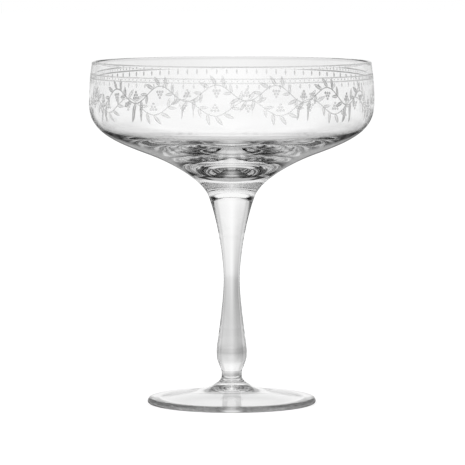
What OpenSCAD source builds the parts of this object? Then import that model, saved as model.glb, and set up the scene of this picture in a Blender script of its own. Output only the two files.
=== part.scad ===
// Champagne saucer: a shallow blown bowl on a solid baluster stem, with a
// short collar and a round foot. Four pieces of clear glass, each revolved
// about the upright axis, meet face to face on flat round welds.
// Millimetres, +Z up, origin at the middle of the ring that the glass stands on.

/* [Bowl] */
// Height of the bowl, from its weld to the rim
bowl_h = 51.2; // [49:0.2:55]
// Outer diameter at the rim
rim_d = 106; // [104:0.5:107]
// Greatest outer diameter, at the belly
belly_d = 108; // [107.5:0.5:112]
// Depth of the belly below the rim
belly_drop = 16; // [13:0.5:17]
// Outer diameter where the sweep out of the stem turns into the shoulder
turn_d = 64; // [60:1:68]
// Height of that turn above the weld
turn_h = 16.3; // [15:0.1:17]
// Slope of the conical base at the turn, in degrees
turn_slope = 20.5; // [18:0.5:22.5]

/* [Bowl inside] */
// Wall thickness at the lip
lip_wall = 1.3; // [1:0.1:1.8]
// Wall thickness at the belly
belly_wall = 1.5; // [1.2:0.1:2.2]
// How far outside the outer turn the floor turns up into the wall
floor_out = 4; // [2:0.5:4.5]
// Height of the floor's turn above the outer one
floor_lift = 4; // [3.8:0.1:5]
// Slope of the floor at its turn, in degrees
floor_slope = 15.5; // [13:0.5:18]
// Depth of solid glass under the middle of the floor, above the weld
button_h = 10.8; // [8:0.2:13]

/* [Stem] */
// Height of the stem
stem_h = 66.4; // [56:0.2:80]
// Diameter of the weld to the bowl
weld_d = 17.4; // [15:0.2:19]
// Steepness of the outline at that weld, in degrees
weld_angle = 70; // [62:1:78]
// Diameter of the waist
waist_d = 6.1; // [5:0.1:7.5]
// Height of the waist, as a share of the stem
waist_at = 0.525; // [0.45:0.005:0.6]
// Diameter of the drop knop
knop_d = 11.46; // [9:0.02:14]
// Height of the knop's widest ring above the collar
knop_h = 7.9; // [7:0.1:10]
// Steepness of the outline as it leaves the collar, in degrees
knop_angle = 69; // [55:1:75]

/* [Collar] */
// Height of the collar
collar_h = 2.6; // [1.6:0.1:4]
// Diameter of the collar's two flat faces
collar_d = 7.8; // [6.6:0.1:8.6]
// Depth of the hollow drawn round the collar
collar_hollow = 0.1; // [0.05:0.01:0.3]

/* [Foot] */
// Diameter of the foot
foot_d = 64; // [58:0.5:72]
// Height of the hub's flat top
foot_h = 9.8; // [9:0.1:12]
// Thickness of the foot at its edge
edge_h = 2.3; // [2:0.1:3.2]
// Radius of the edge's lower rounding
edge_low_r = 0.9; // [0.5:0.05:1]
// Slope of the foot as it reaches the edge, in degrees
edge_slope = 4; // [2:0.5:7]
// Lean of the hub away from the upright, in degrees
hub_lean = 20; // [5:1:30]
// Width of the flat ring that the glass stands on
rest_w = 3.4; // [2:0.1:6]
// Height of the hollow under the middle of the foot
hollow_h = 5.6; // [3:0.1:6]
// Slope of that hollow where it meets the ring, in degrees
hollow_slope = 6; // [4:0.5:8]

/* [Hidden] */

// Straight edges on each drawn curve, and on each small rounding
curve_steps = 24;
round_steps = 8;
$fn = 128;

// Pulls at the two ends of each drawn curve, as shares of the size beside it
flare_pull = [0.34, 0.2];
shoulder_pull = [0.22, 0.64];
floor_pull = [0.1, 0.24];
wall_pull = [0.17, 0.57];
neck_pull = [0.6, 0.5];
taper_pull = [0.06, 0.33];
baluster_pull = [0.23, 0.345];
plate_pull = [0.57, 0.34];
hollow_pull = [0.13, 0.38];

// Pull at each end of a shallow round arc, as a share of its length
arc_pull = 1 / 3;

// Heights of the three welds and of the rim
collar_z = foot_h;
stem_z = collar_z + collar_h;
bowl_z = stem_z + stem_h;
rim_z = bowl_z + bowl_h;

// Diameter at which the floor turns up into the wall
floor_d = turn_d + 2 * floor_out;

// Colour of the clear glass
glass = [0.86, 0.89, 0.91, 0.55];

// Point on a cubic curve, at the share t of its way
function cubic(a, b, c, d, t) =
    a * pow(1 - t, 3) + b * 3 * t * pow(1 - t, 2) + c * 3 * t * t * (1 - t) + d * pow(t, 3);

// Direction in the outline's plane, at an angle from the horizontal
function heading(angle) = [cos(angle), sin(angle)];

// Curve from a to b that leaves at one angle and arrives at another, each
// pulled by its own length. The first point is left to what comes before.
function sweep(a, leave, pull_a, b, arrive, pull_b, steps = curve_steps) = [
    for (i = [1:steps])
        cubic(a, a + pull_a * heading(leave), b - pull_b * heading(arrive), b, i / steps)
];

// Arc round a centre, both ends included
function arc(centre, r, from, to) = [
    for (i = [0:round_steps]) centre + r * heading(from + (to - from) * i / round_steps)
];

// Upright wall that leaves its start vertically and is drawn in to its end
function drawn_in(start, end) =
    let (
        rise = end.y - start.y,
        lean = 2 * atan((start.x - end.x) / rise)
    )
    sweep(start, 90, rise * arc_pull, end, 90 + lean, rise * arc_pull, round_steps);

// Outer skin of the bowl, from the weld up to the lip
function bowl_outside() =
    let (
        weld = [weld_d / 2, bowl_z],
        turn = [turn_d / 2, bowl_z + turn_h],
        belly = [belly_d / 2, rim_z - belly_drop],
        lip = [rim_d / 2, rim_z - lip_wall / 2]
    )
    concat(
        [weld],
        sweep(weld, weld_angle, turn_h * flare_pull[0], turn, turn_slope, turn_d * flare_pull[1]),
        sweep(turn, turn_slope, turn_d * shoulder_pull[0], belly, 90, belly_drop * shoulder_pull[1]),
        drawn_in(belly, lip)
    );

// Inner skin of the bowl, from the middle of its floor up to the lip
function bowl_inside() =
    let (
        middle = [0, bowl_z + button_h],
        turn = [floor_d / 2, bowl_z + turn_h + floor_lift],
        belly = [belly_d / 2 - belly_wall, rim_z - belly_drop],
        lip = [rim_d / 2 - lip_wall, rim_z - lip_wall / 2]
    )
    concat(
        [middle],
        sweep(middle, 0, floor_d * floor_pull[0], turn, floor_slope, floor_d * floor_pull[1]),
        sweep(turn, floor_slope, floor_d * wall_pull[0], belly, 90, belly_drop * wall_pull[1]),
        drawn_in(belly, lip)
    );

// Reversed copy of a list
function backwards(list) = [for (i = [len(list) - 1:-1:0]) list[i]];

// Blown bowl with a rounded lip and a solid button under its middle
module bowl() {
    lip_centre = [rim_d / 2 - lip_wall / 2, rim_z - lip_wall / 2];
    lip_round = arc(lip_centre, lip_wall / 2, 0, 180);
    lip_top = [for (i = [1:round_steps - 1]) lip_round[i]];
    color(glass)
        rotate_extrude()
            polygon(concat([[0, bowl_z]], bowl_outside(), lip_top, backwards(bowl_inside())));
}

// Solid baluster: knop near the foot, slim waist, flare under the bowl
module stem() {
    neck = [collar_d / 2, stem_z];
    knop = [knop_d / 2, stem_z + knop_h];
    waist = [waist_d / 2, stem_z + stem_h * waist_at];
    weld = [weld_d / 2, bowl_z];
    below_waist = waist.y - knop.y;
    above_waist = weld.y - waist.y;
    color(glass)
        rotate_extrude()
            polygon(concat(
                [[0, stem_z], neck],
                sweep(neck, knop_angle, knop_h * neck_pull[0], knop, 90, knop_h * neck_pull[1]),
                sweep(knop, 90, below_waist * taper_pull[0], waist, 90, below_waist * taper_pull[1]),
                sweep(waist, 90, above_waist * baluster_pull[0],
                    weld, weld_angle, above_waist * baluster_pull[1]),
                [[0, bowl_z]]
            ));
}

// Short neck ring between the knop and the foot, drawn in a little
module collar() {
    half_h = collar_h / 2;
    hollow_r = (half_h * half_h + collar_hollow * collar_hollow) / (2 * collar_hollow);
    half_turn = asin(half_h / hollow_r);
    hollow_centre = [collar_d / 2 - collar_hollow + hollow_r, collar_z + half_h];
    color(glass)
        rotate_extrude()
            polygon(concat(
                [[0, collar_z]],
                arc(hollow_centre, hollow_r, 180 + half_turn, 180 - half_turn),
                [[0, stem_z]]
            ));
}

// Round foot: hub, sloping plate and rounded edge over a hollow that keeps
// the plate thin and leaves a flat ring to stand on
module foot() {
    foot_r = foot_d / 2;
    apex = [0, hollow_h];
    rest = [foot_r - edge_low_r - rest_w, 0];
    hub = [collar_d / 2, foot_h];
    edge_high_r = (edge_h - edge_low_r) / cos(edge_slope);
    low_centre = [foot_r - edge_low_r, edge_low_r];
    high_centre = [foot_r - edge_high_r, edge_low_r];
    high_round = arc(high_centre, edge_high_r, 0, 90 - edge_slope);
    edge_end = high_round[round_steps];
    color(glass)
        rotate_extrude()
            polygon(concat(
                [apex],
                sweep(apex, 0, rest.x * hollow_pull[0], rest, -hollow_slope, rest.x * hollow_pull[1]),
                arc(low_centre, edge_low_r, -90, 0),
                [for (i = [1:round_steps]) high_round[i]],
                sweep(edge_end, 180 - edge_slope, foot_r * plate_pull[0],
                    hub, 90 + hub_lean, foot_h * plate_pull[1]),
                [[0, foot_h]]
            ));
}

bowl();
stem();
collar();
foot();
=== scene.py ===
"""Champagne saucer of clear glass, dressed in the frame of its solids.

Each piece of glass is turned from its own half outline, finer than the solids
are cut, because every facet of a glass wall shows as a line in what is seen
through it. The pieces meet on flat welds that light passes unbent, so the four
of them read as one body of glass. A border is etched round the upper wall.
"""

import logging
import math
from collections.abc import Callable
from dataclasses import dataclass
from enum import Enum, IntEnum

import bpy
import numpy as np
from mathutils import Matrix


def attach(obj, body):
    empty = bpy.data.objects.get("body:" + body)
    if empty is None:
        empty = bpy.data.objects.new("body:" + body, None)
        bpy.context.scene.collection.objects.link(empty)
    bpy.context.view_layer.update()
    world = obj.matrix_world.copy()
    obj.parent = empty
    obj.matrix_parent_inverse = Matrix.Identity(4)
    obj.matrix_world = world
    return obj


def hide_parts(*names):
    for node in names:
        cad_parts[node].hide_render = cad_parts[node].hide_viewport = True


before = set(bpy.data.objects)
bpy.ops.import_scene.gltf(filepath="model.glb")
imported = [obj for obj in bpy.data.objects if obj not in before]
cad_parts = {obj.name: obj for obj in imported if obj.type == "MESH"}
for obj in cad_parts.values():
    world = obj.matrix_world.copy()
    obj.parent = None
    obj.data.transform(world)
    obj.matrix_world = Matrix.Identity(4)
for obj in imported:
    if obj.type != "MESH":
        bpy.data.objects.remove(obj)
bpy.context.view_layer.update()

LOG = logging.getLogger("champagne_saucer")
MM = 0.001
BODY = "root"

# Quarter of a turn, and headings in the plane of an outline, in degrees
QUARTER = 90.0
OUT, UP, IN, DOWN = 0.0, QUARTER, 2 * QUARTER, -QUARTER

Point = tuple[float, float]
Place = tuple[float, float, float]
Span = tuple[float, float]
Stops = tuple[Point, ...]
Output = bpy.types.NodeSocket


class Slot(Enum):
    """Material slots of the record."""

    CLEAR = "clear_glass"
    ETCHED = "etched_glass"


class Face(IntEnum):
    """Kinds of face on a turned piece, numbered as its material slots are."""

    SKIN = 0
    WELD = 1


class Ray(Enum):
    """What the light path says of a ray."""

    CAMERA = "Is Camera Ray"
    DIFFUSE = "Is Diffuse Ray"
    DEPTH = "Ray Depth"
    MIRRORED = "Glossy Depth"


def grey(level: float) -> tuple[float, float, float, float]:
    """Opaque grey of one level."""
    return (level, level, level, 1.0)


def linked(name: str, data: bpy.types.ID) -> bpy.types.Object:
    """Put a new object into the scene.

    Args:
        name: Its name.
        data: Its mesh, lamp or camera.

    Returns:
        The object.
    """
    made = bpy.data.objects.new(name, data)
    bpy.context.scene.collection.objects.link(made)
    return made


def overloads(operation: str) -> tuple[Callable, Callable]:
    """Make an operator and its reflected form from an operation of the Math node.

    Args:
        operation: The node's operation.

    Returns:
        The two methods, for this value first and for this value second.
    """
    def plain(self: "Value", other: "Value | float") -> "Value":
        """Put this value first into a Math node, before another value."""
        return self.maths(operation, other)

    def reflected(self: "Value", other: float) -> "Value":
        """Put this value second into a Math node, after a plain number."""
        return self.sheet.value("ShaderNodeMath", {0: other, 1: self}, operation=operation)

    return plain, reflected


class Value:
    """A number in a node tree, with arithmetic that adds Math nodes."""

    __add__, __radd__ = overloads("ADD")
    __sub__, __rsub__ = overloads("SUBTRACT")
    __mul__, __rmul__ = overloads("MULTIPLY")
    __pow__, __rpow__ = overloads("POWER")
    __truediv__ = overloads("DIVIDE")[0]
    __mod__ = overloads("MODULO")[0]
    __gt__ = overloads("GREATER_THAN")[0]

    def __init__(self, sheet: "NodeSheet", socket: Output) -> None:
        """Wrap an output of a tree."""
        self.sheet = sheet
        self.socket = socket

    def maths(self, operation: str, *others: "Value | float") -> "Value":
        """Put this value first into a Math node, and others after it."""
        return self.sheet.value("ShaderNodeMath", dict(enumerate((self, *others))), operation=operation)

    def at_least(self, count: int) -> "Value":
        """One where this whole number reaches a count, and nought elsewhere."""
        return self > count - 0.5

    def towards(self, other: "Value | float", share: "Value | float") -> "Value":
        """Go a share of the way, from nought to one, to another value."""
        sockets = dict(zip(self.sheet.NUMBERS, (share, self, other)))
        return self.sheet.value("ShaderNodeMix", sockets, data_type="FLOAT")

    def eased(self, start: float, end: float) -> "Value":
        """Go smoothly from nought at the start to one at the end, which may be the lower."""
        sockets = {"Value": self, "From Min": start, "From Max": end}
        return self.sheet.value("ShaderNodeMapRange", sockets, interpolation_type="SMOOTHSTEP")

    def graded(self, stops: Stops) -> "Value":
        """Look this value up in a grading.

        Args:
            stops: Values and the results at them, rising.

        Returns:
            The result.
        """
        low, high = stops[0][0], stops[-1][0]
        ramp = self.sheet.node("ShaderNodeValToRGB", {0: (self - low) / (high - low)})
        marks = ramp.color_ramp.elements
        for at, _ in stops[1:-1]:
            marks.new((at - low) / (high - low))
        for mark, (_, level) in zip(marks, stops):
            mark.color = grey(level)
        return Value(self.sheet, ramp.outputs[0])


class NodeSheet:
    """A node tree while it is drawn."""

    # A Mix node's inputs for numbers and for colours (share, first, second), and its output of a colour
    NUMBERS = (0, 2, 3)
    COLOURS = (0, 6, 7)
    COLOUR = 2

    def __init__(self, tree: bpy.types.NodeTree) -> None:
        """Start drawing in a tree."""
        self.tree = tree

    def node(self, kind: str, sockets: dict | None = None, **settings: object) -> bpy.types.Node:
        """Add a node.

        Args:
            kind: The node's type.
            sockets: Inputs by name or number, each a value, an output or a plain setting.
            settings: Properties, which are set first.

        Returns:
            The node.
        """
        node = self.tree.nodes.new(kind)
        for name, setting in settings.items():
            setattr(node, name, setting)
        for key, given in (sockets or {}).items():
            source = given.socket if isinstance(given, Value) else given
            if isinstance(source, Output):
                self.tree.links.new(source, node.inputs[key])
            else:
                node.inputs[key].default_value = source
        return node

    def output(self, kind: str, sockets: dict | None = None, **settings: object) -> Output:
        """Add a node and take its first output."""
        return self.node(kind, sockets, **settings).outputs[0]

    def value(self, kind: str, sockets: dict | None = None, **settings: object) -> Value:
        """Add a node and take its first output as a number."""
        return Value(self, self.output(kind, sockets, **settings))

    def values(self, kind: str, sockets: dict | None = None) -> dict[str, Value]:
        """Add a node and take all its outputs as numbers, by name."""
        return {out.name: Value(self, out) for out in self.node(kind, sockets).outputs}

    def noise(self, place: Output, scale: float, detail: float, roughness: float = 0.5) -> Value:
        """Noise over a place, from nought to one."""
        sockets = {"Vector": place, "Scale": scale, "Detail": detail, "Roughness": roughness}
        return self.value("ShaderNodeTexNoise", sockets)

    def blend(self, share: Value, first: Output | float, second: float) -> Output:
        """Go a share of the way from a colour, or the level of a grey, to a grey."""
        ends = (grey(first) if isinstance(first, float) else first, grey(second))
        return self.node("ShaderNodeMix", dict(zip(self.COLOURS, (share, *ends))),
                         data_type="RGBA").outputs[self.COLOUR]


@dataclass(frozen=True)
class Finish:
    """Base of the finishes: a named material with its own node tree. Sizes are in metres."""

    name: str

    def material(self) -> bpy.types.Material:
        """Make the material, or fetch it once it is made.

        Returns:
            The material.
        """
        made = bpy.data.materials.get(self.name)
        if made is None:
            made = bpy.data.materials.new(self.name)
            made.use_nodes = True
            made.node_tree.nodes.clear()
            sheet = NodeSheet(made.node_tree)
            sheet.node("ShaderNodeOutputMaterial", {"Surface": self.shade(sheet)})
        return made

    def shade(self, sheet: NodeSheet) -> Output:
        """Draw the shader in the material's tree."""
        raise NotImplementedError

    @staticmethod
    def place(sheet: NodeSheet) -> Output:
        """Place on the piece, in metres of the shared frame."""
        return sheet.node("ShaderNodeTexCoord").outputs["Object"]


@dataclass(frozen=True)
class ClearGlass(Finish):
    """Fire-polished glass with the faint waves and cords of hand work."""

    name: str = "fire_polished_glass"
    pale: float = 0.995
    deep: float = 0.985
    haze: float = 0.004
    haze_span: Span = (0.45, 0.8)
    cord_scale: float = 25.0
    wave_scale: float = 75.0
    wave_squash: Place = (1.0, 1.0, 2.6)
    wave_depth: float = 0.000004

    def shade(self, sheet: NodeSheet) -> Output:
        """Draw glass whose surface rolls a little and whose polish varies, with any shade that a finish
        paints into its tint.

        Args:
            sheet: The material's tree.

        Returns:
            The glass shader.
        """
        place = self.place(sheet)
        squashed = sheet.output("ShaderNodeMapping", {"Vector": place, "Scale": self.wave_squash})
        waves = sheet.noise(squashed, self.wave_scale, detail=1.0, roughness=0.4)
        cords = sheet.noise(place, self.cord_scale, detail=2.0)
        tint = sheet.blend(cords, self.deep, self.pale)
        rolled = {"Height": waves, "Strength": 1.0, "Distance": self.wave_depth}
        return sheet.output("ShaderNodeBsdfPrincipled", {
            "Base Color": self.with_painted_shade(sheet, tint), "Roughness": cords.eased(*self.haze_span) * self.haze,
            "IOR": 1.52, "Transmission Weight": 1.0, "Normal": sheet.output("ShaderNodeBump", rolled)})

    def with_painted_shade(self, sheet: NodeSheet, tint: Output) -> Output:
        """Tint of the glass with the shade painted into it: none, in plain glass."""
        return tint


@dataclass(frozen=True)
class GreyShadedGlass(ClearGlass):
    """Clear glass with shade painted into its tint all over, so that it reads greyer."""

    name: str = "grey_shaded_glass"
    # Greys of painted shade, in place of the paler tints of clear glass
    pale: float = 0.86
    deep: float = 0.8


@dataclass(frozen=True)
class EdgeShadedGlass(ClearGlass):
    """Clear glass with shade painted into its tint along its round edge, where the edge is looked into end
    on.
    """

    name: str = "edge_shaded_glass"
    # Radii over which the painted shade sets in, and the grey that it paints
    edge_shade_span: Span = (0.0304, 0.0313)
    edge_painted_shade: float = 0.63

    def with_painted_shade(self, sheet: NodeSheet, tint: Output) -> Output:
        """Paint shade into the tint beyond the radius at which the edge starts."""
        x, y, _ = sheet.values("ShaderNodeSeparateXYZ", {0: self.place(sheet)}).values()
        return sheet.blend(((x * x + y * y) ** 0.5).eased(*self.edge_shade_span), tint, self.edge_painted_shade)


@dataclass(frozen=True)
class ShadeBandGlass(ClearGlass):
    """Clear glass with one soft band of painted shade round it, and paler painted shade below the band."""

    name: str = "shade_band_glass"
    # Height and reach of a band of painted shade, its grey, and the paler painted shade below it
    band_height: float = 0.0195
    band_reach: float = 0.0011
    band_painted_shade: float = 0.68
    tail_shade_span: Span = (0.0148, 0.0168)
    tail_shade_share: float = 0.65

    def with_painted_shade(self, sheet: NodeSheet, tint: Output) -> Output:
        """Paint shade into the tint round one height, and less of it below.

        Args:
            sheet: The material's tree.
            tint: Tint of the clear glass.

        Returns:
            The tint with its painted shade.
        """
        height = sheet.values("ShaderNodeSeparateXYZ", {0: self.place(sheet)})["Z"]
        shade_band = (height - self.band_height).maths("ABSOLUTE").eased(self.band_reach, 0.0)
        shade_tail = height.eased(*self.tail_shade_span) * (1 - (height > self.band_height)) * self.tail_shade_share
        return sheet.blend(shade_band.maths("MAXIMUM", shade_tail), tint, self.band_painted_shade)


@dataclass(frozen=True)
class WeldSeam(Finish):
    """Face on which two pieces of glass have run together, so nothing of it shows."""

    name: str = "weld_seam"

    def shade(self, sheet: NodeSheet) -> Output:
        """Draw a face that light passes unbent."""
        return sheet.output("ShaderNodeBsdfPrincipled", {"Base Color": grey(1.0), "Alpha": 0.0})


@dataclass(frozen=True)
class EtchedFrost(Finish):
    """Fine matt frost that acid leaves in clear glass, denser where it is seen aslant."""

    name: str = "etched_frost"
    pale: float = 0.58
    dark: float = 0.4988
    grain_scale: float = 5200.0
    grain_depth: float = 0.00002
    patch_grains: float = 12.0
    rough: float = 0.55
    rough_swing: float = 0.3
    cover: float = 0.16
    cover_aslant: float = 0.55
    cover_swing: float = 0.14
    slant_span: Span = (0.02, 0.4)

    def shade(self, sheet: NodeSheet) -> Output:
        """Draw a stippled frost that lets some light by.

        Args:
            sheet: The material's tree.

        Returns:
            The frost shader.
        """
        place = self.place(sheet)
        grain = sheet.noise(place, self.grain_scale, detail=2.0, roughness=0.6)
        patches = sheet.noise(place, self.grain_scale / self.patch_grains, detail=1.0)
        aslant = sheet.values("ShaderNodeLayerWeight", {"Blend": 0.5})["Facing"]
        cover = self.cover + aslant.eased(*self.slant_span) * (self.cover_aslant - self.cover)
        stipple = {"Height": grain, "Strength": 0.6, "Distance": self.grain_depth}
        return sheet.output("ShaderNodeBsdfPrincipled", {
            "Base Color": sheet.blend(grain, self.dark, self.pale), "IOR": 1.5,
            "Roughness": self.rough + grain * self.rough_swing,
            "Alpha": cover + (grain + patches - 1.0) * self.cover_swing,
            "Normal": sheet.output("ShaderNodeBump", stipple)})


@dataclass(frozen=True)
class PaleFloor(Finish):
    """White sweep that the glass stands on."""

    name: str = "pale_floor"
    pale: float = 0.5
    dark: float = 0.495
    fibre_scale: float = 900.0
    glow: float = 0.64

    def shade(self, sheet: NodeSheet) -> Output:
        """Draw matt paper that is white where nothing shades it.

        Args:
            sheet: The material's tree.

        Returns:
            The paper shader.
        """
        fibres = sheet.noise(self.place(sheet), self.fibre_scale, detail=3.0)
        return sheet.output("ShaderNodeBsdfPrincipled", {
            "Base Color": sheet.blend(fibres, self.dark, self.pale), "Roughness": 0.9,
            "Specular IOR Level": 0.0, "Emission Color": grey(1.0), "Emission Strength": self.glow})


class Outline:
    """Half outline of a turned piece, in the plane of radius and height, in millimetres."""

    # Straight edges on each kind of curve, and facets round the axis
    SWEEP_EDGES = 60
    WALL_EDGES = 24
    ARC_EDGES = 16
    AROUND = 256

    # Handles of a shallow round arc, as a share of its length
    ARC_PULL = 1 / 3

    # Radius, in metres, under which a ring is a point of the axis
    AXIS = 1e-7

    def __init__(self, start: Point) -> None:
        """Put down the first point, a radius and a height."""
        self.points: list[np.ndarray] = [np.array(start, float)]
        self.kinds: list[Face] = []

    @staticmethod
    def heading(angle: float) -> np.ndarray:
        """Direction at an angle from the horizontal, in degrees."""
        return np.array([math.cos(math.radians(angle)), math.sin(math.radians(angle))])

    def line(self, end: Point, kind: Face = Face.SKIN) -> "Outline":
        """Go straight to a point.

        Args:
            end: Radius and height.
            kind: What the edge becomes when it is turned.

        Returns:
            This outline.
        """
        self.points.append(np.array(end, float))
        self.kinds.append(kind)
        return self

    def sweep(self, leave: float, pull: float, end: Point, arrive: float, drag: float,
              edges: int = SWEEP_EDGES) -> "Outline":
        """Go along a cubic curve.

        Args:
            leave: Angle at the start, in degrees.
            pull: Length of the start's handle.
            end: Radius and height of the end.
            arrive: Angle at the end, in degrees.
            drag: Length of the end's handle.
            edges: Straight edges on the curve.

        Returns:
            This outline.
        """
        a, d = self.points[-1], np.array(end, float)
        b, c = a + pull * self.heading(leave), d - drag * self.heading(arrive)
        for t in np.linspace(0, 1, edges + 1)[1:]:
            u = 1 - t
            self.line(a * u**3 + 3 * b * t * u**2 + 3 * c * t * t * u + d * t**3)
        return self

    def arc(self, centre: Point, radius: float, start: float, end: float) -> "Outline":
        """Go round a centre, from a first point that is already there.

        Args:
            centre: Radius and height of the centre.
            radius: Radius of the arc.
            start: First angle, in degrees.
            end: Last angle, in degrees.

        Returns:
            This outline.
        """
        for angle in np.linspace(start, end, self.ARC_EDGES + 1)[1:]:
            self.line(np.array(centre) + radius * self.heading(angle))
        return self

    def drawn_in(self, end: Point, rising: bool = True) -> "Outline":
        """Go along a wall that is upright at its lower end and drawn in at its upper end.

        Args:
            end: Radius and height of the end.
            rising: Whether the lower end comes first.

        Returns:
            This outline.
        """
        here = self.points[-1]
        rise = end[1] - here[1]
        lean = 2 * math.degrees(math.atan((here[0] - end[0]) / rise))
        pull = abs(rise) * self.ARC_PULL
        leave, arrive = (UP, UP + lean) if rising else (DOWN + lean, DOWN)
        return self.sweep(leave, pull, end, arrive, pull, self.WALL_EDGES)

    def turned(self, name: str, finish: Finish) -> bpy.types.Object:
        """Turn the outline about the upright axis into a closed mesh.

        Args:
            name: Name of the object.
            finish: Finish of the skin.

        Returns:
            The object, smooth but for its weld edges.
        """
        turns = np.arange(self.AROUND) * (2 * math.pi / self.AROUND)
        places: list[np.ndarray] = []
        rings: list[np.ndarray] = []
        count = 0
        for radius, height in np.array(self.points) * MM:
            around = turns if radius > self.AXIS else turns[:1]
            ring = [radius * np.cos(around), radius * np.sin(around), np.full(len(around), height)]
            places.append(np.column_stack(ring))
            rings.append(np.arange(count, count + len(around)))
            count += len(around)
        faces = [face for low, high in zip(rings, rings[1:]) for face in self._band(low, high)]
        mesh = bpy.data.meshes.new(name)
        mesh.from_pydata(np.concatenate(places).tolist(), [], faces)
        mesh.materials.append(finish.material())
        mesh.materials.append(WeldSeam().material())
        mesh.polygons.foreach_set("material_index", np.repeat(self.kinds, self.AROUND))
        self._soften(mesh, rings)
        return linked(name, mesh)

    @staticmethod
    def _band(low: np.ndarray, high: np.ndarray) -> list[tuple[int, ...]]:
        """Make the faces between two rings, either of which may be a point of the axis.

        Args:
            low: Numbers of the first ring's points.
            high: Numbers of the second ring's points.

        Returns:
            The faces, as numbers of points.
        """
        corners = [low, np.roll(low, -1), np.roll(high, -1), high]
        if len(low) == 1:
            corners = [np.repeat(low, len(high)), *corners[2:]]
        elif len(high) == 1:
            corners = [*corners[:2], np.repeat(high, len(low))]
        return [tuple(face) for face in np.column_stack(corners).tolist()]

    def _soften(self, mesh: bpy.types.Mesh, rings: list[np.ndarray]) -> None:
        """Shade the mesh smooth, with a crisp edge where weld meets skin.

        Args:
            mesh: The turned mesh.
            rings: Numbers of each ring's points.
        """
        mesh.shade_smooth()
        ring_of = np.repeat(np.arange(len(rings)), [len(ring) for ring in rings])
        crisp = [i + 1 for i, (a, b) in enumerate(zip(self.kinds, self.kinds[1:])) if a != b]
        ends = np.zeros(2 * len(mesh.edges), int)
        mesh.edges.foreach_get("vertices", ends)
        first, second = ring_of[ends[0::2]], ring_of[ends[1::2]]
        sharp = mesh.attributes.new("sharp_edge", "BOOLEAN", "EDGE")
        sharp.data.foreach_set("value", (first == second) & np.isin(first, crisp))
        mesh.update()


@dataclass
class GlassPiece:
    """Base of the four turned pieces of glass. Sizes are in millimetres."""

    name: str
    node: str

    def outline(self) -> Outline:
        """Draw the half outline, from the axis round to the axis."""
        raise NotImplementedError

    def build(self, finish: Finish) -> bpy.types.Object:
        """Turn the piece, dress it and let it stand for its solid.

        Args:
            finish: Finish of its skin.

        Returns:
            The finished piece.
        """
        piece = self.outline().turned(self.name, finish)
        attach(piece, BODY)
        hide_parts(self.node)
        return piece


@dataclass
class Foot(GlassPiece):
    """Round foot: hub, sloping plate, rounded edge, and a hollow underneath."""

    name: str = "foot_glass"
    node: str = "foot"
    radius: float = 32.0
    height: float = 9.8
    hub_radius: float = 3.9
    hub_lean: float = 20.0
    plate_pull: Span = (0.57, 0.34)
    edge_height: float = 2.3
    edge_low_radius: float = 0.9
    edge_slope: float = 4.0
    rest_width: float = 3.4
    hollow_height: float = 5.6
    hollow_slope: float = 6.0
    hollow_pull: Span = (0.13, 0.38)

    def outline(self) -> Outline:
        """Draw from the top of the hollow, round the edge, to the middle of the hub.

        Returns:
            The outline.
        """
        low = self.edge_low_radius
        high = (self.edge_height - low) / math.cos(math.radians(self.edge_slope))
        rest = self.radius - low - self.rest_width
        line = Outline((0, self.hollow_height))
        line.sweep(OUT, rest * self.hollow_pull[0], (rest, 0), -self.hollow_slope, rest * self.hollow_pull[1])
        line.line((self.radius - low, 0))
        line.arc((self.radius - low, low), low, DOWN, OUT)
        line.arc((self.radius - high, low), high, OUT, UP - self.edge_slope)
        line.sweep(IN - self.edge_slope, self.radius * self.plate_pull[0], (self.hub_radius, self.height),
                   UP + self.hub_lean, self.height * self.plate_pull[1])
        return line.line((0, self.height), Face.WELD)


@dataclass
class Collar(GlassPiece):
    """Short neck ring between the knop and the foot, drawn in a little."""

    name: str = "collar_glass"
    node: str = "collar"
    base: float = 9.8
    height: float = 2.6
    radius: float = 3.9
    hollow: float = 0.1

    def outline(self) -> Outline:
        """Draw from the lower weld to the upper one.

        Returns:
            The outline.
        """
        half = self.height / 2
        round_radius = (half**2 + self.hollow**2) / (2 * self.hollow)
        turn = math.degrees(math.asin(half / round_radius))
        centre = (self.radius - self.hollow + round_radius, self.base + half)
        line = Outline((0, self.base))
        line.line((self.radius, self.base), Face.WELD)
        line.arc(centre, round_radius, IN + turn, IN - turn)
        return line.line((0, self.base + self.height), Face.WELD)


@dataclass
class Stem(GlassPiece):
    """Solid baluster: drop knop, slim waist, flare under the bowl."""

    name: str = "stem_glass"
    node: str = "stem"
    base: float = 12.4
    height: float = 66.4
    neck_radius: float = 3.9
    knop_radius: float = 5.73
    knop_height: float = 7.9
    knop_angle: float = 69.0
    knop_pull: Span = (0.6, 0.5)
    waist_radius: float = 3.05
    waist_share: float = 0.525
    waist_pull: Span = (0.06, 0.33)
    weld_radius: float = 8.7
    weld_angle: float = 70.0
    weld_pull: Span = (0.23, 0.345)

    def outline(self) -> Outline:
        """Draw from the neck, over the knop and up the baluster to the weld under the bowl.

        Returns:
            The outline.
        """
        top = self.base + self.height
        waist = self.base + self.height * self.waist_share
        lower = self.knop_height
        middle = waist - self.base - lower
        upper = top - waist
        line = Outline((0, self.base))
        line.line((self.neck_radius, self.base), Face.WELD)
        line.sweep(self.knop_angle, lower * self.knop_pull[0], (self.knop_radius, self.base + lower),
                   UP, lower * self.knop_pull[1])
        line.sweep(UP, middle * self.waist_pull[0], (self.waist_radius, waist),
                   UP, middle * self.waist_pull[1])
        line.sweep(UP, upper * self.weld_pull[0], (self.weld_radius, top),
                   self.weld_angle, upper * self.weld_pull[1])
        return line.line((0, top), Face.WELD)


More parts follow.
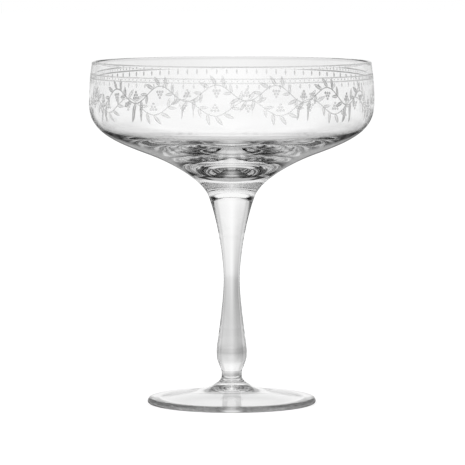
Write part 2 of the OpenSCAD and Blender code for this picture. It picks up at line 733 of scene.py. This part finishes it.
@dataclass
class Bowl(GlassPiece):
    """Blown bowl: solid button, conical base, shoulder, upright wall and rounded lip."""

    name: str = "bowl_glass"
    node: str = "bowl"
    base: float = 78.8
    height: float = 51.2
    weld_radius: float = 8.7
    weld_angle: float = 70.0
    turn_radius: float = 32.0
    turn_height: float = 16.3
    turn_slope: float = 20.5
    flare_pull: Span = (0.34, 0.4)
    shoulder_pull: Span = (0.44, 0.64)
    belly_radius: float = 54.0
    belly_drop: float = 16.0
    rim_radius: float = 53.0
    lip_wall: float = 1.3
    belly_wall: float = 1.5
    wall_pull: Span = (0.57, 0.34)
    floor_radius: float = 36.0
    floor_lift: float = 4.0
    floor_slope: float = 15.5
    floor_pull: Span = (0.48, 0.2)
    button_height: float = 10.8

    @property
    def rim(self) -> float:
        """Height of the rim."""
        return self.base + self.height

    @property
    def belly(self) -> float:
        """Height of the belly."""
        return self.rim - self.belly_drop

    def outside(self) -> Outline:
        """Draw the outer skin, from the axis under the weld up to the lip.

        Returns:
            The outline so far.
        """
        turn = (self.turn_radius, self.base + self.turn_height)
        line = Outline((0, self.base))
        line.line((self.weld_radius, self.base), Face.WELD)
        line.sweep(self.weld_angle, self.turn_height * self.flare_pull[0],
                   turn, self.turn_slope, self.turn_radius * self.flare_pull[1])
        line.sweep(self.turn_slope, self.turn_radius * self.shoulder_pull[0],
                   (self.belly_radius, self.belly), UP, self.belly_drop * self.shoulder_pull[1])
        return line.drawn_in((self.rim_radius, self.rim - self.lip_wall / 2))

    def outline(self) -> Outline:
        """Draw the outer skin, the lip, and the inner skin down to the middle of the floor.

        Returns:
            The outline.
        """
        half = self.lip_wall / 2
        turn = (self.floor_radius, self.base + self.turn_height + self.floor_lift)
        line = self.outside()
        line.arc((self.rim_radius - half, self.rim - half), half, OUT, IN)
        line.drawn_in((self.belly_radius - self.belly_wall, self.belly), rising=False)
        line.sweep(DOWN, self.belly_drop * self.wall_pull[0],
                   turn, IN + self.floor_slope, self.floor_radius * self.wall_pull[1])
        return line.sweep(IN + self.floor_slope, self.floor_radius * self.floor_pull[0],
                          (0, self.base + self.button_height), IN, self.floor_radius * self.floor_pull[1])


@dataclass
class EtchedBorder:
    """Trailing vine under two ruled lines, etched round the upper wall of the bowl, in millimetres."""

    name: str = "etched_border"
    frost: float = 0.03
    lift: float = 0.01
    wall_reach: Span = (15.5, 8.0)
    lines: Span = (125.4, 123.9)
    line_width: float = 0.48
    line_edges: int = 384
    vine_height: float = 114.9
    vine_swing: float = 2.9
    vine_width: float = 0.42
    vine_edges: int = 672
    waves: int = 14
    leaf_length: float = 4.5
    leaf_width: float = 2.3
    leaf_lean: float = 52.0
    leaf_edges: int = 8
    leaf_powers: Span = (0.75, 0.95)
    leaf_swell: float = 1.9
    leaf_tip: float = 0.001
    vein: float = 0.22
    vein_taper: float = 0.6
    bend_leaves: int = 3
    pair_lean: float = 41.6
    pair_scale: float = 0.82
    grape_size: float = 1.05
    grape_pitch: float = 1.12
    grape_row_pitch: float = 0.88
    grape_hang: float = 1.9
    beads: int = 168
    bead_size: float = 0.62
    dot_edges: int = 12
    drops: int = 84
    drop_length: float = 1.9
    drop_width: float = 1.25
    drop_gap: float = 0.35

    def build(self, bowl: Bowl, finish: Finish) -> bpy.types.Object:
        """Grow the border on a plain strip, wrap it round the bowl and keep it as a mesh.

        Args:
            bowl: The bowl that carries it.
            finish: Finish of the etched lines.

        Returns:
            The finished border.
        """
        strip = linked(f"{self.name}_strip", bpy.data.meshes.new(f"{self.name}_strip"))
        tree = BorderTree(self, bowl).draw()
        modifier = strip.modifiers.new("border", "NODES")
        modifier.node_group = tree
        given = {name: getattr(self, name) * MM for name in BorderTree.SIZES}
        given |= {name: getattr(self, name) for name in BorderTree.COUNTS}
        given[BorderTree.FINISH] = finish.material()
        for item in tree.interface.items_tree:
            if item.in_out == "INPUT" and item.name in given:
                modifier[item.identifier] = given[item.name]
        bpy.context.view_layer.update()
        evaluated = strip.evaluated_get(bpy.context.evaluated_depsgraph_get())
        mesh = bpy.data.meshes.new_from_object(evaluated)
        mesh.name = self.name
        strip.modifiers.remove(modifier)
        bpy.data.objects.remove(strip)
        bpy.data.node_groups.remove(tree)
        border = linked(self.name, mesh)
        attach(border, BODY)
        return border


class BorderTree:
    """Geometry tree that draws the border flat and wraps it round the bowl.

    On the flat strip x runs round the bowl, y is height and z stands off the wall.
    """

    # Fields of the border that are inputs of the tree
    SIZES = ("line_width", "frost", "lift", "vine_height", "vine_swing", "vine_width", "leaf_length",
             "leaf_width", "vein", "drop_length", "drop_width", "bead_size", "grape_size")
    COUNTS = ("waves", "drops", "beads")
    FINISH = "finish"

    # Distances in metres at which points are one, on a plate and where the strip's ends meet
    PLATE_MERGE = 2e-6
    SEAM_MERGE = 1e-6

    # Bends in a wave, and grapes in a bunch of rows of three, two and one
    BENDS = 2
    BUNCH = 6

    def __init__(self, border: EtchedBorder, bowl: Bowl) -> None:
        """Start the tree with its named inputs.

        Args:
            border: The border's sizes.
            bowl: The bowl that it wraps.
        """
        self.border = border
        self.bowl = bowl
        self.girth = 2 * math.pi * bowl.belly_radius * MM
        self.tree = bpy.data.node_groups.new("etched_border", "GeometryNodeTree")
        self.sheet = NodeSheet(self.tree)
        kinds = {"geometry": "Geometry", **dict.fromkeys(self.SIZES, "Float"),
                 **dict.fromkeys(self.COUNTS, "Int"), self.FINISH: "Material"}
        face = self.tree.interface
        for name, kind in kinds.items():
            face.new_socket(name, in_out="INPUT", socket_type=f"NodeSocket{kind}")
        face.new_socket("geometry", in_out="OUTPUT", socket_type="NodeSocketGeometry")
        self.inputs = self.sheet.node("NodeGroupInput").outputs

    def given(self, name: str) -> Value:
        """One of the tree's named inputs."""
        return Value(self.sheet, self.inputs[name])

    def number(self) -> Value:
        """Number of the point that is being placed."""
        return self.sheet.value("GeometryNodeInputIndex")

    def where(self) -> tuple[Value, ...]:
        """Place of a point, as its three numbers."""
        place = self.sheet.output("GeometryNodeInputPosition")
        return tuple(self.sheet.values("ShaderNodeSeparateXYZ", {0: place}).values())

    def vector(self, x: Value | float, y: Value | float, z: Value | float) -> Output:
        """Join three numbers into a vector."""
        return self.sheet.output("ShaderNodeCombineXYZ", {0: x, 1: y, 2: z})

    def spot(self, x: Value, y: Value | float) -> Output:
        """Place on the strip, just off the wall."""
        return self.vector(x, y, self.given("lift"))

    def grid(self, length: Value | float, width: Value | float, edges: int) -> Output:
        """Flat strip along x, one face wide."""
        sockets = {"Size X": length, "Size Y": width, "Vertices X": edges + 1, "Vertices Y": 2}
        return self.sheet.output("GeometryNodeMeshGrid", sockets)

    def moved(self, shape: Output, place: Output) -> Output:
        """Give every point of a shape a new place."""
        return self.sheet.output("GeometryNodeSetPosition", {"Geometry": shape, "Position": place})

    def merged(self, shape: Output, distance: float) -> Output:
        """Make points that are close to each other one."""
        return self.sheet.output("GeometryNodeMergeByDistance", {"Geometry": shape, "Distance": distance})

    def flipped(self, shape: Output) -> Output:
        """Turn the faces of a shape the other way."""
        return self.sheet.output("GeometryNodeFlipFaces", {"Mesh": shape})

    def joined(self, shapes: list[Output]) -> Output:
        """Join several shapes into one.

        Args:
            shapes: The shapes.

        Returns:
            All of them.
        """
        join = self.sheet.node("GeometryNodeJoinGeometry")
        for shape in shapes:
            self.tree.links.new(shape, join.inputs[0])
        return join.outputs[0]

    def plate(self, flat: Output) -> Output:
        """Give a flat shape the thickness of the frost, closed all round.

        Args:
            flat: The flat shape.

        Returns:
            The closed plate.
        """
        clean = self.merged(flat, self.PLATE_MERGE)
        raised = self.sheet.output("GeometryNodeExtrudeMesh", {
            "Mesh": clean, "Offset": self.vector(0.0, 0.0, 1.0),
            "Offset Scale": self.given("frost"), "Individual": False}, mode="FACES")
        return self.merged(self.joined([raised, self.flipped(clean)]), self.PLATE_MERGE)

    def phase(self, x: Value) -> Value:
        """Angle along the vine's waves at a place on the strip."""
        return x * (self.given("waves") * (2 * math.pi / self.girth))

    def slope(self, x: Value) -> Value:
        """Slope of the vine at a place on the strip."""
        steepest = self.given("vine_swing") * self.given("waves") * (2 * math.pi / self.girth)
        return steepest * self.phase(x).maths("COSINE")

    def level(self, x: Value) -> Value:
        """Height of the vine at a place on the strip."""
        return self.given("vine_height") + self.given("vine_swing") * self.phase(x).maths("SINE")

    def along(self, share: Value) -> Value:
        """Place on the strip at a share of the way round."""
        return (share - 0.5) * self.girth

    def on_vine(self, turns: Value) -> tuple[Value, Output]:
        """How far along the strip a number of waves goes, and the place there on the stalk."""
        x = self.along(turns / self.given("waves"))
        return x, self.spot(x, self.level(x))

    @staticmethod
    def sign(number: Value) -> Value:
        """One for an even number, and minus one for an odd one."""
        return 1.0 - (number % 2.0) * 2.0

    def ruled(self, height: float) -> Output:
        """Rule a line all round, at a height in millimetres.

        Args:
            height: Its height.

        Returns:
            The line's plate.
        """
        strip = self.grid(self.girth, self.given("line_width"), self.border.line_edges)
        x, y, _ = self.where()
        return self.plate(self.moved(strip, self.spot(x, y + height * MM)))

    def vine(self) -> Output:
        """Draw the vine's wavy stalk, of even width.

        Returns:
            The stalk's plate.
        """
        strip = self.grid(self.girth, 1.0, self.border.vine_edges)
        x, y, _ = self.where()
        stretch = (self.slope(x) ** 2 + 1.0) ** 0.5
        height = self.level(x) + y * self.given("vine_width") * stretch
        return self.plate(self.moved(strip, self.spot(x, height)))

    def half_leaf(self, length: Value, width: Value, vein: Value | float, side: int) -> Output:
        """Draw one half of a leaf, from its stalk at the origin along x.

        Args:
            length: Length of the leaf.
            width: Greatest width of the whole leaf.
            vein: Width of the clear vein down its middle.
            side: 1 for the upper half and -1 for the lower.

        Returns:
            The flat half.
        """
        x, y, _ = self.where()
        along, across = x + 0.5, y + 0.5
        opening, closing = self.border.leaf_powers
        swell = along ** opening * (1 - along).maths("MAXIMUM", 0.0) ** closing * self.border.leaf_swell
        inner = vein * 0.5 * (1 - along * self.border.vein_taper) * (swell > self.border.leaf_tip)
        edge = inner + across * (width * 0.5) * swell
        place = self.vector(along * length, edge * float(side), 0.0)
        shaped = self.moved(self.grid(1.0, 1.0, self.border.leaf_edges), place)
        return shaped if side > 0 else self.flipped(shaped)

    def leaf(self, length: Value, width: Value, vein: Value | float) -> Output:
        """Draw a whole leaf as a plate, of a length, a width and a clear vein."""
        return self.joined([self.plate(self.half_leaf(length, width, vein, side)) for side in (1, -1)])

    def dot(self, size: Value) -> Output:
        """Draw a round dot as a plate."""
        disc = {"Vertices": self.border.dot_edges, "Radius": size * 0.5}
        return self.plate(self.sheet.output("GeometryNodeMeshCircle", disc, fill_type="NGON"))

    def strewn(self, count: Value, place: Output, shape: Output, turn: Value | float = 0.0) -> Output:
        """Put a shape on a number of points.

        Args:
            count: How many.
            place: Where, worked out from each point's number.
            shape: The shape.
            turn: Angle of each, in radians.

        Returns:
            The instances.
        """
        points = self.sheet.output("GeometryNodePoints", {"Count": count, "Position": place})
        turned = self.sheet.output("FunctionNodeEulerToRotation", {"Euler": self.vector(0.0, 0.0, turn)})
        return self.sheet.output("GeometryNodeInstanceOnPoints", {
            "Points": points, "Instance": shape, "Rotation": turned})

    def outer_leaves(self) -> Output:
        """Set leaves on the outside of every bend.

        Returns:
            The leaves.
        """
        number, each = self.number(), self.border.bend_leaves
        bend = (number / each).maths("FLOOR")
        spacing = 1 / (self.BENDS * (each + 1))
        x, place = self.on_vine(bend / self.BENDS + (number % each + 1.0) * spacing)
        side = self.sign(bend) * self.sign(self.given("waves"))
        turn = self.slope(x).maths("ARCTANGENT") + side * math.radians(self.border.leaf_lean)
        leaf = self.leaf(self.given("leaf_length"), self.given("leaf_width"), self.given("vein"))
        return self.strewn(self.given("waves") * (self.BENDS * each), place, leaf, turn)

    def paired_leaves(self) -> Output:
        """Set a pair of smaller leaves between the bends.

        Returns:
            The leaves.
        """
        number, scale = self.number(), self.border.pair_scale
        x, place = self.on_vine((number / 2.0).maths("FLOOR") / self.BENDS)
        turn = self.slope(x).maths("ARCTANGENT") + self.sign(number) * math.radians(self.border.pair_lean)
        length, width = self.given("leaf_length") * scale, self.given("leaf_width") * scale
        leaf = self.leaf(length, width, self.given("vein"))
        return self.strewn(self.given("waves") * (self.BENDS * 2.0), place, leaf, turn)

    def grapes(self) -> Output:
        """Hang a bunch of grapes inside every bend.

        Returns:
            The grapes.
        """
        number, size = self.number(), self.given("grape_size")
        bunch, berry = (number / self.BUNCH).maths("FLOOR"), number % self.BUNCH
        row = berry.at_least(3) + berry.at_least(5)
        across = berry - row * 3.0 + row.at_least(2) - (1.0 - row * 0.5)
        pitch = size * self.border.grape_pitch
        fall = size * self.border.grape_hang + row * pitch * self.border.grape_row_pitch
        side = self.sign(bunch) * self.sign(self.given("waves"))
        height = self.given("vine_height") + side * (self.given("vine_swing") - fall)
        x = self.along((bunch + 0.5) / self.BENDS / self.given("waves"))
        place = self.spot(x + across * pitch, height)
        return self.strewn(self.given("waves") * (self.BENDS * self.BUNCH), place, self.dot(size))

    def beads(self) -> Output:
        """String fine beads between the two ruled lines."""
        place = self.spot(self.along(self.number() / self.given("beads")), sum(self.border.lines) / 2 * MM)
        return self.strewn(self.given("beads"), place, self.dot(self.given("bead_size")))

    def drops(self) -> Output:
        """Hang a row of small drops from the lower line.

        Returns:
            The drops.
        """
        x = self.along((self.number() + 0.5) / self.given("drops"))
        place = self.spot(x, (self.border.lines[1] - self.border.drop_gap) * MM)
        drop = self.leaf(self.given("drop_length"), self.given("drop_width"), vein=0.0)
        return self.strewn(self.given("drops"), place, drop, math.radians(DOWN))

    def wrapped(self, flat: Output) -> Output:
        """Wrap the strip round the bowl's outer wall.

        Args:
            flat: The whole border on its strip.

        Returns:
            The border on the bowl.
        """
        x, y, z = self.where()
        above = y - self.bowl.belly * MM
        radius = self.bowl.belly_radius * MM + z
        for off, shares in ((above, self.wall_bend(True)), (0.0 - above, self.wall_bend(False))):
            for power, share in enumerate(shares, 2):
                radius = radius + off.maths("MAXIMUM", 0.0) ** power * share
        turn = x * (2 * math.pi / self.girth)
        place = self.vector(radius * turn.maths("SINE"), radius * turn.maths("COSINE") * -1.0, y)
        return self.moved(flat, place)

    def wall_bend(self, upper: bool) -> tuple[float, float]:
        """Fit how the outer wall falls away from its belly.

        Args:
            upper: Whether above the belly or below it.

        Returns:
            Shares of the square and of the cube of the height from the belly, in metres.
        """
        skin = np.array(self.bowl.outside().points) * MM
        off = (skin[:, 1] - self.bowl.belly * MM) * (1 if upper else -1)
        near = (off > 0) & (off < self.border.wall_reach[0 if upper else 1] * MM)
        fall = skin[near, 0] - self.bowl.belly_radius * MM
        powers = np.column_stack([off[near]**2, off[near]**3])
        square, cube = np.linalg.lstsq(powers, fall, rcond=None)[0]
        return float(square), float(cube)

    def draw(self) -> bpy.types.NodeTree:
        """Draw the whole tree.

        Returns:
            The tree.
        """
        parts = [self.ruled(height) for height in self.border.lines]
        parts += [self.vine(), self.outer_leaves(), self.paired_leaves()]
        parts += [self.grapes(), self.beads(), self.drops()]
        solid = self.sheet.output("GeometryNodeRealizeInstances", {"Geometry": self.joined(parts)})
        closed = self.merged(self.wrapped(solid), self.SEAM_MERGE)
        dressed = self.sheet.output("GeometryNodeSetMaterial", {
            "Geometry": closed, "Material": self.inputs[self.FINISH]})
        self.sheet.node("NodeGroupOutput", {0: dressed})
        return self.tree


@dataclass(frozen=True)
class Sight:
    """Direction in which a ray leaves the glass, in degrees, and what it met on its way."""

    rise: Value
    turn: Value
    aside: Value
    depth: Value
    mirrored: Value


@dataclass(frozen=True)
class Patch:
    """Soft-edged patch of the surround: angles over which it sets in aside, from below and from above."""

    aside: Span
    foot: Span
    head: Span

    def mask(self, sight: Sight) -> Value:
        """One within the patch, and nought outside it."""
        return sight.aside.eased(*self.aside) * sight.rise.eased(*self.foot) * sight.rise.eased(*self.head)


@dataclass
class Surround:
    """White surround of the glass, with gradings for each kind of light in it.

    Brightness is graded by elevation and by the angle aside from straight behind the
    glass, both in degrees. It isn't one room: light that passes through, light that
    crosses both walls of the bowl, and light that is mirrored once, a few times or
    many times inside the glass each have gradings of their own.
    """

    # Ray depths, and then counts of mirrorings, from which light is of another kind
    INNER, CROSSED, BEYOND_SHEEN = 3, 4, 5
    ONCE, TWICE, OFTEN, BEYOND_RING, LIP = 1, 2, 3, 4, 19

    plain: float = 0.75
    white: float = 1.0
    side_span: Span = (-4, 4)
    clear_rise: Stops = (
        (-90, 0.8), (-40, 0.95), (-20, 0.92), (-16, 0.78), (-13.5, 0.66), (-10, 0.73), (-6, 0.79),
        (-4.4, 0.83), (-2.9, 0.92), (-1.5, 0.95), (2, 0.96), (9, 0.98), (12, 1.0))
    aside_rise: Stops = (
        (-90, 0.8), (-25, 0.8), (-18, 0.7), (-15, 0.42), (-11, 0.36), (-6, 0.4), (-2, 0.54),
        (5, 0.66), (11, 0.78), (20, 0.9), (40, 0.6))
    right_share: Stops = ((0, 0.0), (3, 0.08), (10, 0.5), (19, 0.87), (31, 1.0), (75, 0.7), (90, 0.5))
    left_share: Stops = ((0, 0.0), (3, 0.04), (12, 0.2), (31, 0.32), (54, 0.6), (75, 0.6))
    clear_edge: Stops = ((0, 1.0), (30, 0.97), (38, 0.8), (54, 0.8), (66, 0.5), (76, 0.7), (90, 1.0))
    clear_gaps: Stops = (
        (0, 0.0), (38, 0.0), (44, 0.3), (46, 0.3), (52, 0.0), (82, 0.0), (85, 0.9), (95, 0.9), (98, 0.0),
        (130, 0.0), (133, 0.9), (137, 0.9), (140, 0.0), (168, 0.0), (174, 0.9), (180, 0.9))
    through_rise: Stops = (
        (-90, 0.95), (-45, 0.6), (-30, 0.6), (-22, 0.8), (-17, 0.6), (-13, 0.98), (-4, 1.0),
        (25, 1.0), (40, 0.1), (52, 0.02), (60, 0.55), (90, 0.75))
    sheen_near: Stops = (
        (-90, 1.0), (-60, 0.1), (-50, 0.02), (-36, 0.02), (-28, 0.6), (-22, 0.85), (-15, 0.7),
        (-8, 0.03), (-5, 0.25), (-3, 0.92), (12, 1.0))
    sheen_far: Stops = (
        (-90, 0.8), (-60, 0.02), (-40, 0.03), (-14, 0.03), (-8, 0.08), (-5, 0.2), (-3, 0.85),
        (-1, 0.8), (3, 0.5), (12, 0.4), (24, 0.25), (40, 0.25), (50, 1.0))
    inner_near: Stops = (
        (-90, 0.8), (-64, 0.1), (-57, 0.5), (-24, 0.5), (-20, 0.06), (-8, 0.08), (-5, 0.25),
        (-3, 0.92), (12, 1.0))
    inner_close: Stops = ((-90, 0.8), (-64, 0.1), (-57, 0.5), (-27, 0.5), (-12, 0.5), (-3, 0.92), (12, 1.0))
    close_span: Span = (13, 8)
    outer_far: Span = (7, 14)
    inner_far: Span = (16, 24)
    front_span: Span = (75, 110)
    pool: Patch = Patch((22, 32), (-22, -15), (3, -3))
    pool_light: float = 0.85
    glanced_rise: Stops = (
        (-90, 0.4), (-75, 0.6), (-60, 0.06), (-45, 0.48), (-32, 0.28), (-22, 0.95), (-8, 1.0),
        (-3, 0.6), (3, 1.0), (12, 0.58), (25, 1.0))
    glanced_aside: Stops = ((0, 1.0), (62, 1.0), (80, 0.4), (92, 0.02), (125, 0.02), (145, 0.3), (168, 1.0))
    notch: Patch = Patch((138, 150), (20, 28), (60, 48))
    mirror_rise: Stops = (
        (-90, 0.6), (-70, 1.0), (-60, 0.55), (-50, 0.9), (-45, 0.85), (-38, 0.3), (-31, 0.95),
        (-20, 0.02), (-14, 0.02), (-9, 0.42), (-5, 0.97), (-1, 0.95), (2, 0.9), (5, 0.35),
        (7, 0.16), (12, 1.0))
    mirror_aside: Stops = (
        (0, 1.0), (33, 1.0), (39, 0.5), (45, 1.0), (57, 1.0), (63, 0.5), (69, 0.03), (75, 0.25),
        (82, 0.02), (150, 0.02), (180, 1.0))
    mirror_slant: Stops = ((-60, 1.0), (-9, 1.0), (-5, 0.02), (9, 0.02), (13, 1.0))
    slant: float = 0.7
    slant_foot: Span = (6, 12)
    slant_head: Span = (64, 56)
    high_span: Span = (42, 52)
    high_light: float = 0.4
    fade: float = 0.985
    ring_light: float = 0.95
    ring_span: Span = (60, 40)
    lip_span: Span = (30, 20)

    def clear(self, sight: Sight) -> Value:
        """Grade light that no glass mirrors.

        Args:
            sight: The ray.

        Returns:
            The brightness that it meets.
        """
        rise, aside = sight.rise, sight.aside
        folded = QUARTER - (aside - QUARTER).maths("ABSOLUTE")
        right, left = folded.graded(self.right_share), folded.graded(self.left_share)
        share = right.towards(left, sight.turn.eased(*self.side_span))
        clear = rise.graded(self.clear_rise).towards(rise.graded(self.aside_rise), share)
        clear = (clear * folded.graded(self.clear_edge)).towards(self.white, aside.graded(self.clear_gaps))
        return clear.towards(rise.graded(self.through_rise), sight.depth.at_least(self.CROSSED))

    def sheen(self, sight: Sight) -> Value:
        """Grade light that the outer or the inner skin mirrors once.

        Args:
            sight: The ray.

        Returns:
            The brightness that it meets.
        """
        rise, aside = sight.rise, sight.aside
        inner = sight.depth.at_least(self.INNER)
        close = aside.eased(*self.close_span)
        within = rise.graded(self.inner_near).towards(rise.graded(self.inner_close), close)
        near = rise.graded(self.sheen_near).towards(within, inner)
        far = aside.eased(*self.outer_far).towards(aside.eased(*self.inner_far), inner)
        sheen = near.towards(rise.graded(self.sheen_far), far)
        sheen = sheen.towards(self.pool_light, self.pool.mask(sight))
        return sheen.towards(self.white, aside.eased(*self.front_span))

    def glanced(self, sight: Sight) -> Value:
        """Grade light that is mirrored once or twice, deeper in the glass."""
        lit = sight.rise.graded(self.glanced_rise) * sight.aside.graded(self.glanced_aside)
        return lit * (1 - self.notch.mask(sight))

    def mirrored(self, sight: Sight) -> Value:
        """Grade light that is mirrored many times.

        Args:
            sight: The ray.

        Returns:
            The brightness that it meets.
        """
        rise, aside, count = sight.rise, sight.aside, sight.mirrored
        high = rise.eased(*self.high_span) * self.high_light
        lit = aside.graded(self.mirror_aside).maths("MAXIMUM", high)
        straight = rise.graded(self.mirror_rise) * lit * self.fade ** count
        slanted = straight * (aside - rise * self.slant).graded(self.mirror_slant)
        mixed = straight.towards(slanted, rise.eased(*self.slant_foot) * rise.eased(*self.slant_head))
        ring = (1 - count.at_least(self.BEYOND_RING)) * aside.eased(*self.ring_span)
        lip = count.at_least(self.LIP) * aside.eased(*self.lip_span)
        return mixed.towards(self.ring_light, ring).towards(self.plain, lip)

    def paint(self) -> None:
        """Paint the surround as the world behind the scene, plain for matt light and white for the camera."""
        world = bpy.data.worlds.new("studio")
        world.use_nodes = True
        world.node_tree.nodes.clear()
        bpy.context.scene.world = world
        sheet = NodeSheet(world.node_tree)
        generated = sheet.node("ShaderNodeTexCoord").outputs["Generated"]
        way = sheet.values("ShaderNodeSeparateXYZ", {0: generated})
        light = sheet.values("ShaderNodeLightPath")
        ray = {kind: light[kind.value] for kind in Ray}
        rise = way["Z"].maths("ARCSINE").maths("DEGREES")
        turn = way["X"].maths("ARCTAN2", way["Y"]).maths("DEGREES")
        count = ray[Ray.MIRRORED]
        sight = Sight(rise, turn, turn.maths("ABSOLUTE"), ray[Ray.DEPTH], count)
        once = count.at_least(self.ONCE) * (1 - count.at_least(self.TWICE))
        sheened = once * (1 - sight.depth.at_least(self.BEYOND_SHEEN))
        seen = self.clear(sight).towards(self.glanced(sight), count.at_least(self.ONCE))
        seen = seen.towards(self.sheen(sight), sheened)
        seen = seen.towards(self.mirrored(sight), count.at_least(self.OFTEN))
        shown = seen.towards(self.plain, ray[Ray.DIFFUSE]).towards(self.white, ray[Ray.CAMERA])
        backdrop = sheet.output("ShaderNodeBackground", {"Color": shown})
        sheet.node("ShaderNodeOutputWorld", {"Surface": backdrop})


@dataclass(frozen=True)
class Lamp:
    """Large soft lamp that lights matt things and shows in no glass. Sizes are in metres."""

    name: str
    place: Place
    power: float
    size: float = 0.9
    aim: float = 0.06

    def hang(self) -> None:
        """Hang the lamp and turn it to the middle of the object."""
        lamp = bpy.data.lights.new(self.name, "AREA")
        lamp.shape = "SQUARE"
        lamp.size = self.size
        lamp.energy = self.power
        holder = linked(self.name, lamp)
        holder.location = self.place
        x, y, z = self.place
        tilt = math.atan2(math.hypot(x, y), z - self.aim)
        holder.rotation_euler = (tilt, 0, math.atan2(-y, -x) - math.pi / 2)
        holder.visible_glossy = False
        holder.visible_transmission = False


@dataclass
class Studio:
    """Pale floor, soft light, white surround and the camera. Sizes are in metres."""

    camera_place: Place = (0.0003, -1.47, 0.185)
    camera_aim: float = 0.065
    lens: float = 300.6
    sensor: float = 36.0
    floor_radius: float = 6.0
    floor_sides: int = 96
    lamps: tuple[Lamp, ...] = (Lamp("key_lamp", (-0.55, -0.5, 1.1), power=5.0),
                               Lamp("fill_lamp", (0.7, 0.35, 0.9), power=3.0))
    bounces: int = 64

    def build(self) -> None:
        """Set up everything round the object."""
        self.place_camera()
        self.lay_floor()
        for lamp in self.lamps:
            lamp.hang()
        Surround().paint()
        scene = bpy.context.scene
        scene.view_settings.view_transform = "Standard"
        for limit in ("max_bounces", "transmission_bounces", "glossy_bounces", "transparent_max_bounces"):
            setattr(scene.cycles, limit, self.bounces)

    def place_camera(self) -> None:
        """Stand the camera where the photograph was taken from."""
        lens = bpy.data.cameras.new("camera")
        lens.sensor_width = self.sensor
        lens.lens = self.lens
        camera = linked("camera", lens)
        camera.location = self.camera_place
        drop = self.camera_place[2] - self.camera_aim
        camera.rotation_euler = (math.pi / 2 - math.atan2(drop, -self.camera_place[1]), 0, 0)
        bpy.context.scene.camera = camera

    def lay_floor(self) -> None:
        """Lay the pale floor, which only the camera and matt light meet."""
        turns = np.arange(self.floor_sides) * (2 * math.pi / self.floor_sides)
        rim = [(self.floor_radius * math.cos(t), self.floor_radius * math.sin(t), 0.0) for t in turns]
        mesh = bpy.data.meshes.new("floor")
        mesh.from_pydata(rim, [], [tuple(range(len(rim)))])
        mesh.materials.append(PaleFloor().material())
        floor = linked("floor", mesh)
        floor.visible_glossy = False
        floor.visible_transmission = False


def main() -> None:
    """Build the studio, the four pieces of glass and the etched border."""
    logging.basicConfig(level=logging.INFO, format="%(name)s: %(message)s")
    Studio().build()
    bowl = Bowl()
    # The foot, the collar and the stem wear finishes with shade painted into their tints
    parts = ((Foot(), EdgeShadedGlass()), (Collar(), GreyShadedGlass()), (Stem(), ShadeBandGlass()), (bowl, ClearGlass()))
    pieces = [part.build(finish) for part, finish in parts]
    pieces.append(EtchedBorder().build(bowl, EtchedFrost()))
    for piece in pieces:
        LOG.info("%s: %d faces", piece.name, len(piece.data.polygons))


if __name__ == "__main__":
    main()
